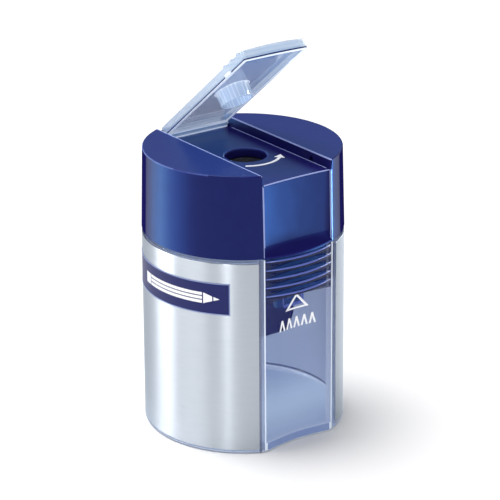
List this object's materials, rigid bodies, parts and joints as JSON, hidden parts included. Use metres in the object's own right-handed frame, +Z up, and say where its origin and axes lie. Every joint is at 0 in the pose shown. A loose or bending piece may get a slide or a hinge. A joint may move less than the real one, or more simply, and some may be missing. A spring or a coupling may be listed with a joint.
{
  "type": "pencil sharpener",
  "caption": "Round canister pencil sharpener with a hinged clear lid, a lift-off head and a clear tub in a silver sleeve with a ribbed press pad.",
  "frame": {"origin": "centre of the tub's flat underside", "axes": "+Z up through the canister, -Y towards the front window and press pad, +X to the right of someone facing the window from outside"},
  "size_m": [0.0424, 0.0422, 0.0838],
  "materials": {
    "clear_plastic": "clear blue-tinted polystyrene, moulded, gloss",
    "head_plastic": "royal blue ABS, moulded, satin gloss",
    "carrier_plastic": "dark blue ABS, moulded",
    "foil": "bright silver metallised foil, satin",
    "magnesium": "cast magnesium, satin",
    "steel": "hardened and ground steel"
  },
  "bodies": {
    "tub_body": {"tub": "clear_plastic", "foil_sleeve": "foil"},
    "press_pad_body": {"press_pad": "clear_plastic"},
    "head_body": {"head_shell": "head_plastic", "sharpener_carrier": "carrier_plastic", "sharpener_block": "magnesium", "blade": "steel", "blade_screw": "steel"},
    "lid_body": {"lid": "clear_plastic"}
  },
  "joints": [
    {"name": "press_pad_flex", "type": "hinge", "parent": "tub_body", "child": "press_pad_body", "pos_m": [0, -0.0188, 0.025], "axis": [-1, 0, 0], "range_deg": [0, 2.3], "stiffness_Nm_per_rad": 4},
    {"name": "head_lift", "type": "slide", "parent": "tub_body", "child": "head_body", "axis": [0, 0, 1], "range_m": [0, 0.03]},
    {"name": "lid_hinge", "type": "hinge", "parent": "head_body", "child": "lid_body", "pos_m": [0, 0.0174, 0.0586], "axis": [-1, 0, 0], "range_deg": [-39, 76]}
  ]
}
